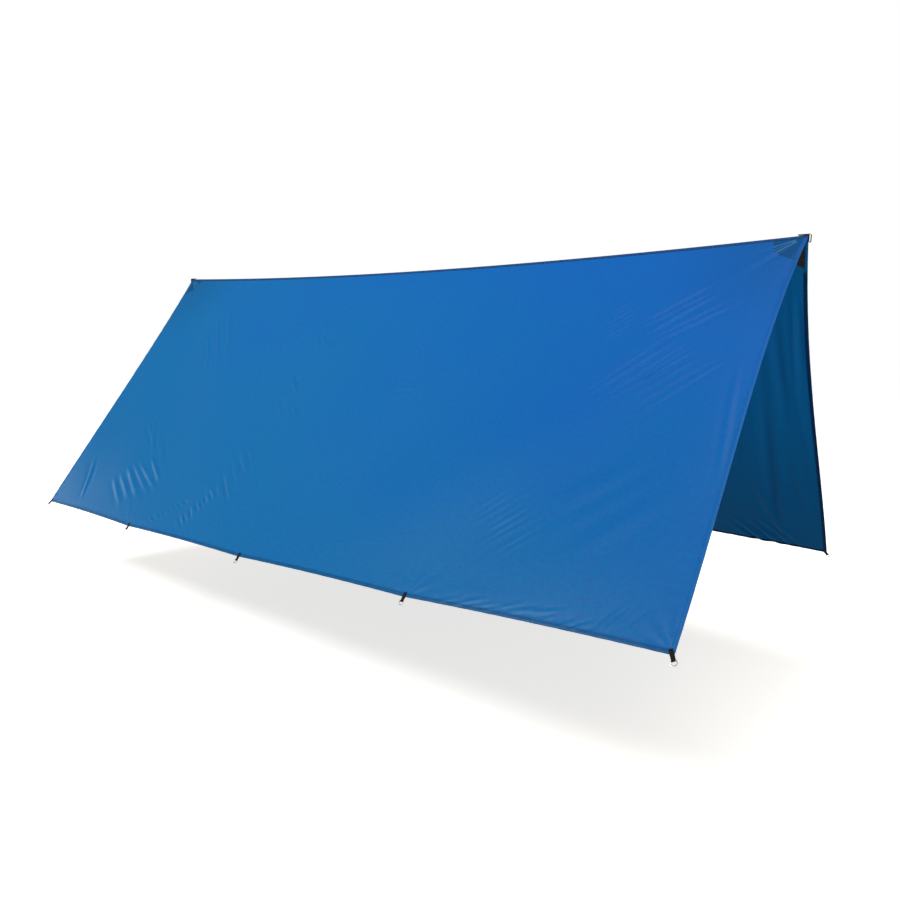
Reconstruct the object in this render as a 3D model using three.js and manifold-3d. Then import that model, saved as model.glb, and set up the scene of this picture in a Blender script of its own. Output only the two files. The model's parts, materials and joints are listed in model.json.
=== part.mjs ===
// Ridge tarp shelter: two cloth panels sewn together along a ridge seam and pitched as an A-frame.
// Millimetres. +X runs along the ridge towards the near end, +Y towards the back panel, +Z up.
// The origin is the middle of the ridge seam, which is also the line that both panels fold about.
import * as THREE from "three";
import { mergeVertices } from "three/addons/utils/BufferGeometryUtils.js";
import Module from "manifold-3d";

// Size of the sewn tarp
const RIDGE_LENGTH = 3000;
const PANEL_SLOPE = 1330; // ridge to hem, along a side edge
const HEM_BOW = 27; // the long hem hangs this much lower at mid-length than a straight one
const HEM_SCALLOP = 4; // and rises this much between two tie-outs
const HEM_BAYS = 4; // spans of hem between the five tie-outs of one panel

// The pitch at rest
const HALF_ANGLE = THREE.MathUtils.degToRad(39); // each panel from the vertical, at mid-length
const END_TWIST = THREE.MathUtils.degToRad(3.7); // turn of the near end about the ridge; the far end turns back

// Cloth. The thickness stands in for a coated nylon of 0.1 mm.
const CLOTH_THICKNESS = 0.8;
const HEM_WIDTH = 12;
const HEM_THICKNESS = 1.4;
const HEM_RAMP = 1; // width of the step from cloth to hem
const PANEL_START = 4.2; // from the ridge axis to a panel's top edge
const BAY_SPANS = 6; // grid spans in one bay of a panel
const SLOPE_SPANS = 6; // grid spans down a panel

const BINDING_RADIUS = 2.6;
const BINDING_SIDES = 12;

// Reinforcement patch: distances along the ridge from the panel's end, and down from the ridge
const PATCH_REACH = 104;
const PATCH_THICKNESS = 0.8;
const PATCH_TOP = 10;
const PATCH_HEM_GAP = 1.5;

// Webbing and rings
const WEBBING_WIDTH = 10;
const WEBBING_THICKNESS = 1.2;
const GAP = 0.3; // clearance between pieces that touch
const LOOSE_GAP = 0.5; // clearance over cloth that is slightly twisted
const SEWN_LENGTH = 14; // webbing that lies on the hem
const LOOP_LENGTH = 13; // from the hem's edge to the ring's bar
const PINCH = 0.8; // half distance between the two legs where they meet
const BEND_STEPS = 8;
const CORNER_TIE_ANGLE = THREE.MathUtils.degToRad(30); // corner tie-outs lean outwards from the slope
const CORNER_TIE_INSET = 5; // the corner tie-out crosses the hem this far in from the corner
const WIRE_RADIUS = 1;
const WIRE_SIDES = 8;
const RING_ARM = 5; // straight side of the D
const RING_STEPS = 18;

// Ridge-end loop
const LOOP_LEG = 28; // leg sewn on top of the ridge
const LOOP_DROP = 15; // how far the free loop hangs below the ridge
const LOOP_OPEN = 5.9; // from leg to leg, centre to centre

const CLOTH_BLUE = 0x1465a6;
const NAVY = 0x0c3560;
const BLACK = 0x17171a;
const STEEL = 0xb9bdc0;

const wasm = await Module();
wasm.setup();

const SIDES = [
  { name: "front", sign: -1 },
  { name: "back", sign: 1 },
];
const ENDS = [
  { name: "near", sign: 1 },
  { name: "far", sign: -1 },
];

const tarp = new THREE.Group();
tarp.name = "tarp_shelter";

function material(color, roughness, metalness = 0) {
  return new THREE.MeshStandardMaterial({ color, roughness, metalness });
}

function addMesh(parent, name, geometry, look) {
  const mesh = new THREE.Mesh(geometry, look);
  mesh.name = name;
  parent.add(mesh);
  return mesh;
}

// ---- The pitched surface -------------------------------------------------------------------

// A panel's angle from the vertical at x: the whole cross-section turns slowly from end to end.
function pitchAngle(side, x) {
  return HALF_ANGLE - side.sign * END_TWIST * ((2 * x) / RIDGE_LENGTH);
}

// The point of a panel's middle surface at x, at a distance down the slope from the ridge axis.
function surfacePoint(side, x, down) {
  const angle = pitchAngle(side, x);
  return new THREE.Vector3(x, side.sign * down * Math.sin(angle), -down * Math.cos(angle));
}

// The panel's directions at a point: along the ridge, down the slope, and out of the shelter.
function surfaceFrame(side, x, down) {
  const step = 1;
  const along = surfacePoint(side, x + step, down).sub(surfacePoint(side, x - step, down)).normalize();
  const slope = surfacePoint(side, x, down + step).sub(surfacePoint(side, x, down - step)).normalize();
  const out = new THREE.Vector3().crossVectors(along, slope).multiplyScalar(side.sign).normalize();
  return { along, slope, out };
}

function offsetPoint(side, x, down, offset) {
  return surfacePoint(side, x, down).addScaledVector(surfaceFrame(side, x, down).out, offset);
}

// Distance from the ridge axis to the long hem at x: an even bow, straight from tie-out to
// tie-out, with a shallow scallop in each bay.
function hemReach(x) {
  const bowAt = (t) => 4 * HEM_BOW * t * (1 - t);
  const bays = (x / RIDGE_LENGTH + 0.5) * HEM_BAYS;
  const bay = Math.min(Math.floor(bays), HEM_BAYS - 1);
  const inBay = bays - bay;
  const bow = THREE.MathUtils.lerp(bowAt(bay / HEM_BAYS), bowAt((bay + 1) / HEM_BAYS), inBay);
  return PANEL_SLOPE + bow - 4 * HEM_SCALLOP * inBay * (1 - inBay);
}

// ---- Cloth ---------------------------------------------------------------------------------

// A closed slab from a grid: point(i, j, face) gives its corners, face 1 being the outer skin.
function slabGeometry(columns, rows, point, flip) {
  const positions = [];
  const indices = [];
  const index = (i, j, face) => (i * rows + j) * 2 + face;
  for (let i = 0; i < columns; i++) {
    for (let j = 0; j < rows; j++) {
      for (const face of [0, 1]) positions.push(...point(i, j, face).toArray());
    }
  }
  const quad = (a, b, c, d) => {
    const corners = flip ? [a, c, b, a, d, c] : [a, b, c, a, c, d];
    indices.push(...corners);
  };
  for (let i = 0; i + 1 < columns; i++) {
    for (let j = 0; j + 1 < rows; j++) {
      quad(index(i, j, 1), index(i, j + 1, 1), index(i + 1, j + 1, 1), index(i + 1, j, 1));
      quad(index(i, j, 0), index(i + 1, j, 0), index(i + 1, j + 1, 0), index(i, j + 1, 0));
    }
    const last = rows - 1;
    quad(index(i, 0, 0), index(i, 0, 1), index(i + 1, 0, 1), index(i + 1, 0, 0));
    quad(index(i, last, 0), index(i + 1, last, 0), index(i + 1, last, 1), index(i, last, 1));
  }
  for (let j = 0; j + 1 < rows; j++) {
    const last = columns - 1;
    quad(index(0, j, 0), index(0, j + 1, 0), index(0, j + 1, 1), index(0, j, 1));
    quad(index(last, j, 0), index(last, j, 1), index(last, j + 1, 1), index(last, j + 1, 0));
  }
  const geometry = new THREE.BufferGeometry();
  geometry.setAttribute("position", new THREE.Float32BufferAttribute(positions, 3));
  geometry.setIndex(indices);
  geometry.computeVertexNormals();
  return geometry;
}

// Grid columns of a panel: the side hems, and each bay in equal spans, with one at each tie-out.
function panelColumns() {
  const end = RIDGE_LENGTH / 2;
  const innerEnd = end - HEM_WIDTH - HEM_RAMP;
  const ties = [-innerEnd, -end / 2, 0, end / 2, innerEnd];
  const columns = [-end, -end + HEM_WIDTH];
  for (let bay = 0; bay < HEM_BAYS; bay++) {
    for (let k = 0; k < BAY_SPANS; k++) {
      columns.push(THREE.MathUtils.lerp(ties[bay], ties[bay + 1], k / BAY_SPANS));
    }
  }
  columns.push(innerEnd, end - HEM_WIDTH, end);
  return columns;
}

// Grid rows of a panel at x: from its top edge to the hem's ramp, then the hem itself.
function panelRows(x) {
  const hem = hemReach(x);
  const inner = hem - HEM_WIDTH - HEM_RAMP;
  const rows = [];
  for (let k = 0; k <= SLOPE_SPANS; k++) {
    rows.push(THREE.MathUtils.lerp(PANEL_START, inner, k / SLOPE_SPANS));
  }
  rows.push(hem - HEM_WIDTH, hem);
  return rows;
}

function panelGeometry(side) {
  const columns = panelColumns();
  const rowCount = SLOPE_SPANS + 3;
  const point = (i, j, face) => {
    const x = columns[i];
    const inHem = i < 2 || i >= columns.length - 2 || j >= rowCount - 2;
    const half = (inHem ? HEM_THICKNESS : CLOTH_THICKNESS) / 2;
    return offsetPoint(side, x, panelRows(x)[j], face ? half : -half);
  };
  return slabGeometry(columns.length, rowCount, point, side.sign > 0);
}

// A patch is a quarter-round with one long cut edge, lying on the panel's inner face inside the
// side hem. Its outline is in distances from the panel's ridge corner.
function patchGeometry(side, end) {
  const inset = HEM_WIDTH + HEM_RAMP + PATCH_HEM_GAP;
  const outline = [
    [inset, PATCH_TOP],
    [PATCH_REACH, PATCH_TOP],
    [0.9 * PATCH_REACH, 0.4 * PATCH_REACH],
    [0.28 * PATCH_REACH, 0.92 * PATCH_REACH],
    [inset, 0.95 * PATCH_REACH],
  ];
  const shape = new THREE.Shape(outline.map(([a, b]) => new THREE.Vector2(a, b)));
  const flat = new THREE.ExtrudeGeometry(shape, { depth: PATCH_THICKNESS, bevelEnabled: false });
  const position = flat.getAttribute("position");
  const innerFace = CLOTH_THICKNESS / 2 + LOOSE_GAP;
  for (let k = 0; k < position.count; k++) {
    const x = end.sign * (RIDGE_LENGTH / 2 - position.getX(k));
    const depth = innerFace + position.getZ(k);
    const placed = offsetPoint(side, x, position.getY(k), -depth);
    position.setXYZ(k, placed.x, placed.y, placed.z);
  }
  return side.sign * end.sign > 0 ? flat : reversed(flat);
}

// The same triangles facing the other way, for a piece laid out as its mirror image.
function reversed(geometry) {
  const plain = geometry.index ? geometry.toNonIndexed() : geometry;
  const position = plain.getAttribute("position");
  const corner = new THREE.Vector3();
  const swapped = new THREE.Vector3();
  for (let k = 0; k < position.count; k += 3) {
    corner.fromBufferAttribute(position, k);
    swapped.fromBufferAttribute(position, k + 1);
    position.setXYZ(k, swapped.x, swapped.y, swapped.z);
    position.setXYZ(k + 1, corner.x, corner.y, corner.z);
  }
  return plain;
}

// ---- Webbing and rings ---------------------------------------------------------------------

// The closed outline of a strip seen edge-on, from its centre line.
function stripShape(line) {
  const normals = line.map((_, k) => {
    const before = line[Math.max(k - 1, 0)];
    const after = line[Math.min(k + 1, line.length - 1)];
    const run = new THREE.Vector2().subVectors(after, before).normalize();
    return new THREE.Vector2(-run.y, run.x);
  });
  const half = WEBBING_THICKNESS / 2;
  const left = line.map((p, k) => p.clone().addScaledVector(normals[k], half));
  const right = line.map((p, k) => p.clone().addScaledVector(normals[k], -half));
  return new THREE.Shape([...right, ...left.reverse()]);
}

// Webbing from its centre line in the XY plane, its width centred on Z = 0.
function webbingGeometry(line) {
  const geometry = new THREE.ExtrudeGeometry(stripShape(line), {
    depth: WEBBING_WIDTH,
    bevelEnabled: false,
  });
  return geometry.translate(0, 0, -WEBBING_WIDTH / 2);
}

function arcPoints(centreX, centreY, radius, from, to, steps = BEND_STEPS) {
  const points = [];
  for (let k = 0; k <= steps; k++) {
    const angle = THREE.MathUtils.lerp(from, to, k / steps);
    points.push(
      new THREE.Vector2(centreX + radius * Math.cos(angle), centreY + radius * Math.sin(angle)),
    );
  }
  return points;
}

// Hem tie-out webbing: one leg on each face of the hem, meeting beyond it, round the ring's bar.
// X is the pull direction from the hem's edge, Y is out of the cloth. A leaning strip stays
// apart a little further, where one edge of it is still over the hem.
function tieWebbingGeometry(lean) {
  const onHem = HEM_THICKNESS / 2 + LOOSE_GAP + WEBBING_THICKNESS / 2;
  const bend = WIRE_RADIUS + GAP + WEBBING_THICKNESS / 2;
  const clear = LOOSE_GAP + (WEBBING_WIDTH / 2) * Math.tan(Math.abs(lean));
  const upper = [
    new THREE.Vector2(-SEWN_LENGTH, onHem),
    new THREE.Vector2(clear, onHem),
    new THREE.Vector2(clear + 3, PINCH),
    new THREE.Vector2(LOOP_LENGTH - 4, PINCH),
  ];
  const lower = upper.map((p) => new THREE.Vector2(p.x, -p.y)).reverse();
  const quarter = Math.PI / 2;
  const turn = arcPoints(LOOP_LENGTH, 0, bend, quarter + 0.5, -quarter - 0.5, BEND_STEPS + 4);
  return webbingGeometry([...upper, ...turn, ...lower]);
}

// The bow of a D-ring: one straight arm, a half circle and the other arm, in the XZ plane.
class RingBow extends THREE.Curve {
  constructor(radius) {
    super();
    this.radius = radius;
    this.length = 2 * RING_ARM + Math.PI * radius;
  }

  getPoint(t, target = new THREE.Vector3()) {
    const run = t * this.length;
    const arcEnd = this.length - RING_ARM;
    if (run < RING_ARM) return target.set(run, 0, -this.radius);
    if (run > arcEnd) return target.set(this.length - run, 0, this.radius);
    const angle = (run - RING_ARM) / this.radius;
    return target.set(RING_ARM + this.radius * Math.sin(angle), 0, -this.radius * Math.cos(angle));
  }
}

function wireSection() {
  return new THREE.Shape(arcPoints(0, 0, WIRE_RADIUS, 0, 2 * Math.PI, WIRE_SIDES).slice(0, -1));
}

function solid(geometry) {
  const plain = geometry.clone();
  plain.deleteAttribute("normal");
  plain.deleteAttribute("uv");
  const merged = mergeVertices(plain, 1e-4);
  const mesh = new wasm.Mesh({
    numProp: 3,
    vertProperties: merged.getAttribute("position").array,
    triVerts: new Uint32Array(merged.index.array),
  });
  return new wasm.Manifold(mesh);
}

function joined(first, second) {
  const mesh = solid(first).add(solid(second)).getMesh();
  const geometry = new THREE.BufferGeometry();
  geometry.setAttribute("position", new THREE.Float32BufferAttribute(mesh.vertProperties, 3));
  geometry.setIndex(Array.from(mesh.triVerts));
  geometry.computeVertexNormals();
  return geometry;
}

// A D-ring lying in the XZ plane with its bar along Z at the origin.
function dRingGeometry() {
  const radius = WEBBING_WIDTH / 2 + GAP + WIRE_RADIUS;
  const bow = new THREE.ExtrudeGeometry(wireSection(), {
    steps: RING_STEPS,
    bevelEnabled: false,
    extrudePath: new RingBow(radius),
  });
  const barLength = 2 * (radius + WIRE_RADIUS);
  const bar = new THREE.CylinderGeometry(WIRE_RADIUS, WIRE_RADIUS, barLength, WIRE_SIDES);
  bar.rotateX(Math.PI / 2);
  return joined(bow, bar);
}

// Ridge-end loop: two stacked legs on top of the ridge, then a free loop that hangs over the end.
// X is outwards along the ridge from its end, Y is up.
function ridgeLoopGeometry() {
  const lowLeg = BINDING_RADIUS + GAP + WEBBING_THICKNESS / 2;
  const highLeg = lowLeg + WEBBING_THICKNESS + GAP;
  const innerX = GAP + WEBBING_THICKNESS / 2;
  const outerX = innerX + LOOP_OPEN;
  const quarter = Math.PI / 2;
  const innerBend = 1.6;
  const outerBend = 4;
  return webbingGeometry([
    new THREE.Vector2(-LOOP_LEG, lowLeg),
    ...arcPoints(innerX - innerBend, lowLeg - innerBend, innerBend, quarter, 0, 4),
    ...arcPoints(innerX + LOOP_OPEN / 2, -LOOP_DROP, LOOP_OPEN / 2, 2 * quarter, 4 * quarter),
    ...arcPoints(outerX - outerBend, highLeg - outerBend, outerBend, 0, quarter, 5),
    new THREE.Vector2(-LOOP_LEG, highLeg),
  ]);
}

// ---- Assembly ------------------------------------------------------------------------------

// A group whose X is the pull direction and whose Y is the outer normal.
function placedGroup(origin, pull, out) {
  const group = new THREE.Group();
  const width = new THREE.Vector3().crossVectors(pull, out);
  group.matrix.makeBasis(pull, out, width).setPosition(origin);
  group.matrix.decompose(group.position, group.quaternion, group.scale);
  tarp.add(group);
  return group;
}

function addPanels() {
  const cloth = material(CLOTH_BLUE, 0.55);
  const patchCloth = material(BLACK, 0.8);
  for (const side of SIDES) {
    addMesh(tarp, `${side.name}_panel`, panelGeometry(side), cloth);
    for (const end of ENDS) {
      addMesh(tarp, `patch_${side.name}_${end.name}`, patchGeometry(side, end), patchCloth);
    }
  }
}

function addRidge() {
  const binding = new THREE.CylinderGeometry(
    BINDING_RADIUS,
    BINDING_RADIUS,
    RIDGE_LENGTH,
    BINDING_SIDES,
  );
  addMesh(tarp, "ridge_binding", binding.rotateZ(Math.PI / 2), material(NAVY, 0.7));
  const up = new THREE.Vector3(0, 0, 1);
  for (const end of ENDS) {
    const outwards = new THREE.Vector3(end.sign, 0, 0);
    const group = placedGroup(outwards.clone().multiplyScalar(RIDGE_LENGTH / 2), outwards, up);
    addMesh(group, `ridge_loop_${end.name}`, ridgeLoopGeometry(), material(BLACK, 0.85));
  }
}

// Tie-outs are numbered from the far end to the near end.
function addTieOuts() {
  const webbing = material(BLACK, 0.85);
  const steel = material(STEEL, 0.3, 1);
  for (const side of SIDES) {
    for (let k = 0; k <= HEM_BAYS; k++) {
      const corner = k === 0 ? -1 : k === HEM_BAYS ? 1 : 0;
      const x = (k / HEM_BAYS - 0.5) * RIDGE_LENGTH - corner * CORNER_TIE_INSET;
      const down = hemReach(x);
      const { along, slope, out } = surfaceFrame(side, x, down);
      const lean = corner * CORNER_TIE_ANGLE;
      const pull = slope.multiplyScalar(Math.cos(lean)).addScaledVector(along, Math.sin(lean));
      const group = placedGroup(surfacePoint(side, x, down), pull.normalize(), out);
      addMesh(group, `webbing_${side.name}_${k + 1}`, tieWebbingGeometry(lean), webbing);
      const ring = addMesh(group, `d_ring_${side.name}_${k + 1}`, dRingGeometry(), steel);
      ring.position.x = LOOP_LENGTH;
    }
  }
}

addPanels();
addRidge();
addTieOuts();

export default tarp;
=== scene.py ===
import json
import math

import bpy
import numpy as np
from mathutils import Matrix, Vector


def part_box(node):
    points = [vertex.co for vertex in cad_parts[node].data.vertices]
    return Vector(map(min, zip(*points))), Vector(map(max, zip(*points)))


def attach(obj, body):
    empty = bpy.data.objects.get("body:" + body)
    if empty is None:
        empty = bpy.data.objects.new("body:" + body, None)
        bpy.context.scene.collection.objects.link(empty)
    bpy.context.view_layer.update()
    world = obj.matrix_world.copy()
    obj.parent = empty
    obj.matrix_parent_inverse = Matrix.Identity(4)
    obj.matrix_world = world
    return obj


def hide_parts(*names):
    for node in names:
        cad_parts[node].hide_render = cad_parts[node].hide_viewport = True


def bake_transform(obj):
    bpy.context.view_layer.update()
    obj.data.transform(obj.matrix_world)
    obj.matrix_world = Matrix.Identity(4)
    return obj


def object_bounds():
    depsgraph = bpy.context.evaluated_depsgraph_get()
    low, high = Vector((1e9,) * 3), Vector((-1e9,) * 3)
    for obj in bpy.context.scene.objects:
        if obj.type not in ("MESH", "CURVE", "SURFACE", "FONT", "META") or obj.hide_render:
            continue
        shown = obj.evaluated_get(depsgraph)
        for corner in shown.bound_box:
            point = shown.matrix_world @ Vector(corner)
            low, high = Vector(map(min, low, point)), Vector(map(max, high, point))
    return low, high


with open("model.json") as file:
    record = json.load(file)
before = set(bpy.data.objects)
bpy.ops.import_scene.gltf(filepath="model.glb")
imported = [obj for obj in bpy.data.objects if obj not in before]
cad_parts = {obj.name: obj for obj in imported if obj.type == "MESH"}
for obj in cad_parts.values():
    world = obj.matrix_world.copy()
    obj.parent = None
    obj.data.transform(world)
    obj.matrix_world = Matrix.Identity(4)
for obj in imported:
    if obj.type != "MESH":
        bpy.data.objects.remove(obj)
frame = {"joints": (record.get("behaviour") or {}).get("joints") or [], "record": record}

# Cloth
CLOTH_THICKNESS = 0.0006
HEM_WIDTH = 0.012
HEM_THICKNESS = 0.0014
HEM_STITCH = 0.0095  # the hem's line of stitches, from its edge
HEM_GROOVE = 0.0012  # the reach of its groove on each side
HEM_RAMP = 0.0145  # here the hem has thinned out to plain cloth
HEM_SCALLOP = 0.004  # how far the hem rises between two tie-outs
SIDE_BOW = 0.017  # how far the side hems are cut in, most at a third of the way down
RIDGE_SAG = 0.0315  # at mid-length
BILLOW = 0.010  # how far a slope hangs in at its middle
WAVE_HEIGHT = 0.0045
SHEET_TOP = 0.0012  # the sheet's top edge, under the seam's tape
FOLD_START = 0.005  # the bend that the faces are chosen for starts this far off the ridge's plane
FOLD_END = 0.065  # and is whole from here on
FOLD_SHARE = 0.04  # how much of that bend counts when the faces are chosen
FOLD_SHARE_PATCHED = 0.15  # and how much of it where there is a tip patch
CELL_PITCH = 0.0055  # the finest cells of a sheet's mesh
CELLS_PER_BLOCK = 4  # a smooth stretch has one face for this many cells each way
FLATNESS = 0.00004  # how closely a larger face follows the cloth
INSIDE = 1  # the slot of the cloth's inner face, whose material is a copy with painted shade

# Ridge seam
SEAM_RADIUS = 0.0026
SEAM_FLANGE = 0.0085
SEAM_THICKNESS = 0.0005
SEAM_GAP = 0.0001  # between its tape and the cloth
SEAM_STEP = 0.45  # its tape's inner edge, as a share of the flange
SEAM_SECTIONS = 239  # between the side hems

# Tip patches
PATCH_REACH = 0.103
PATCH_THICKNESS = 0.0007
PATCH_GAP = 0.0004  # between a patch and the cloth
PATCH_TOP = 0.004
PATCH_INSET = 0.008

# Webbing and rings
TIE_COUNT = 5
WEBBING_WIDTH = 0.010
WEBBING_THICKNESS = 0.0012
WEBBING_RIBS = 7
WEBBING_EDGE = 0.0006  # how far its edges are rounded in
WEBBING_GAP = 0.0003  # between a ply of it and what lies next to it
WEBBING_PITCH = 0.0008  # between its sections
SEWN_LENGTH = 0.014
LOOP_LENGTH = 0.013  # from the hem's edge to the ring's bar
FACE_HEIGHT = 0.0024  # from the cloth's middle to the stated outer face of a tie-out
SEWN_GAP = 0.00005  # between its sewn legs and the hem
PINCH_GAP = 0.00004  # between the two legs, where they meet
HEM_CLEAR = 0.0004  # they run on this far past the hem's edge
PINCH_START = 0.002  # and meet this far past that
PINCH_END = 0.0034  # and part again this far before the bar
BAR_GAP = 0.0001  # between its turn and the bar
BAR_TURN = 0.63 * math.pi  # how far each leg turns round the bar
WIRE_RADIUS = 0.001
WIRE_PITCH = 0.0006  # between its sections
RING_RADIUS = WEBBING_WIDTH / 2 + WEBBING_GAP + WIRE_RADIUS  # of the D's middle line
RING_ARM = 0.005
RING_CORNER = 0.0017
RIDGE_LEG = 0.028
RIDGE_DROP = 0.015
RIDGE_OPEN = 0.0059
RIDGE_BENDS = (0.0016, 0.004)  # the loop's inner and outer bends over the ridge's end
CORNER_LEAN = 30  # degrees from square to the hem, at the corner tie-outs

# Stitches
STITCH_PITCH = 0.0034
STITCH_WIDTH = 0.0006  # half of a thread's
STITCH_INSET = 0.0035  # of a patch's border row
FAN_BEARINGS = (22, 31, 40)  # of a tip's rows of stitches, in degrees down from the ridge
FAN_PITCH = 0.0042
FAN_WIDTH = 0.0016

# Camera and room
CAMERA_PLACE = (1.9950, -2.3605, -0.3831)
CAMERA_AZIMUTH = 36.75
CAMERA_ELEVATION = 6.96
CAMERA_ROLL = 1.60
CAMERA_LENS = 29.51
FLOOR_DROP = 0.32  # the floor lies this far under the hems
FLOOR_SIZE = 60
FLOOR_GLOW = 0.72  # near the tarp, rising to full white in the distance
FLOOR_NEAR = 3.0
FLOOR_FAR = 9.0
FLOOR_LIGHT = 0.55  # what its glow gives, as a share of what it looks like
SHADOW_TINT = (1.0, 0.965, 0.90, 1)  # takes out the blue that comes through the cloth
ROOM_LIGHT = 0.26  # what the white surroundings give, as a share of what they look like
LIGHTS = (  # name, the way to it from the tarp, how far, how wide, watts
    ("key", (-0.30, -0.74, 0.60), 5.0, 1.3, 162),
    ("overhead", (0.36, -0.36, 1.00), 4.5, 2.8, 92),
    ("left_fill", (-0.98, -0.20, 0.06), 6.0, 0.9, 11),
    ("right_fill", (0.92, -0.38, 0.02), 5.0, 1.2, 22),
    ("back_fill", (0.10, 0.72, 0.70), 5.0, 2.0, 105),
)


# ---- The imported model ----

for default in ("Cube", "Light", "Camera"):
    if default in bpy.data.objects:
        bpy.data.objects.remove(bpy.data.objects[default])
cad_low, cad_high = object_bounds()
MOUNTS = {mount["name"]: mount for mount in frame["record"]["mounts"]}
JOINTS = {joint["name"]: joint for joint in frame["joints"]}
RIDGE_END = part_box("ridge_binding")[1].x


def unit(vectors):
    return vectors / np.linalg.norm(vectors, axis=-1, keepdims=True)


class TieOut:
    """Where one tie-out crosses the hem, the way it pulls and the way out of the cloth."""

    def __init__(self, slope_name, number):
        self.label = f"{slope_name}_{number}"
        self.ring_body = f"ring_{self.label}"
        mount = MOUNTS[f"tie_{self.label}"]
        self.out = np.array(mount["axis"], float)
        self.bar = np.array(JOINTS[f"ring_{self.label}_swing"]["pos_m"], float)
        under = np.array(mount["pos_m"], float) - FACE_HEIGHT * self.out
        self.pull = unit(self.bar - under)
        self.hem = self.bar - LOOP_LENGTH * self.pull
        self.side = np.cross(self.pull, self.out)


class Slope:
    """One of the two slopes, with its shape worked out from where its tie-outs are."""

    def __init__(self, name, sign):
        self.name = name
        self.sign = sign
        self.body = f"{name}_slope"
        self.ties = [TieOut(name, k + 1) for k in range(TIE_COUNT)]
        hems = np.array([tie.hem for tie in self.ties])
        angles = np.arctan2(np.abs(hems[:, 1]), -hems[:, 2])
        self.turn, self.angle = np.polyfit(hems[:, 0], angles, 1)
        self.tie_reach = np.hypot(hems[:, 1], hems[:, 2])
        self.tie_x = np.linspace(-RIDGE_END, RIDGE_END, TIE_COUNT)

    def ends(self, x):
        """The seam's point and the hem's point at each x."""
        bays = (x / RIDGE_END + 1) / 2 * (TIE_COUNT - 1)
        in_bay = bays - np.clip(np.floor(bays), 0, TIE_COUNT - 2)
        reach = np.interp(x, self.tie_x, self.tie_reach) - 4 * HEM_SCALLOP * in_bay * (1 - in_bay)
        angle = self.angle + self.turn * x
        sag = RIDGE_SAG * (1 - (x / RIDGE_END) ** 2)
        seam = np.stack([x, 0 * x, -sag], axis=-1)
        hem = np.stack([x, self.sign * reach * np.sin(angle), -reach * np.cos(angle)], axis=-1)
        return seam, hem

    def length(self, x):
        seam, hem = self.ends(x)
        return np.linalg.norm(hem - seam, axis=-1)

    def frame_at(self, x):
        """The unit vectors down the slope and out of it at each x."""
        seam, hem = self.ends(x)
        down = unit(hem - seam)
        zero = np.zeros_like(down[..., 0])
        out = np.stack([zero, self.sign * -down[..., 2], self.sign * down[..., 1]], axis=-1)
        return down, unit(out)

    def cut_in(self, x, down):
        """Where x comes to lie, with the side hems cut in between the ridge and the corners."""
        t = np.clip(down / self.length(x), 0, 1)
        most = 4 / 27  # of t * (1 - t) ** 2, at a third of the way
        return x * (1 - SIDE_BOW / RIDGE_END * t * (1 - t) ** 2 / most)

    def point(self, x, down, lift):
        """A point at x, this far down from the seam, and this far out of the cloth's middle."""
        height = lift + relief(self, x, down)
        x = self.cut_in(x, down)
        seam, _ = self.ends(x)
        slope_down, out = self.frame_at(x)
        return seam + slope_down * down[..., None] + out * height[..., None]


# ---- Folds and creases ----


class Crease:
    """A soft straight fold: a crest with a shallow trough on each side, and faded ends."""

    def __init__(self, x, down, heading, length, width, height):
        self.x = x
        self.down = down
        self.along = (math.cos(heading), math.sin(heading))
        self.length = length
        self.width = width
        self.height = height

    def add_to(self, heights, x, down):
        reach = self.length / 2 + 3 * self.width
        near = (np.abs(x - self.x) < reach) & (np.abs(down - self.down) < reach)
        dx = x[near] - self.x
        dd = down[near] - self.down
        along = dx * self.along[0] + dd * self.along[1]
        across = dd * self.along[0] - dx * self.along[1]
        fade = np.clip(1 - (2 * along / self.length) ** 2, 0, 1) ** 2
        q = (across / self.width) ** 2
        heights[near] += self.height * fade * (1 - q) * np.exp(-q / 2)


def crease_row(rng, x, down, heading, length, width, height, count=1, step=(0, 0)):
    """Parallel creases, each a step from the last. Heading is in degrees from the ridge towards
    the hem. Length, width and height are in millimetres. No two come out quite alike."""
    for k in range(count):
        yield Crease(
            x + k * step[0] + rng.normal(0, 0.004),
            down + k * step[1] + rng.normal(0, 0.003),
            math.radians(heading + rng.normal(0, 2.5)),
            rng.uniform(0.7, 1.2) * length / 1000,
            rng.uniform(0.85, 1.2) * width / 1000,
            rng.uniform(0.6, 1.2) * height / 1000,
        )


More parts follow.
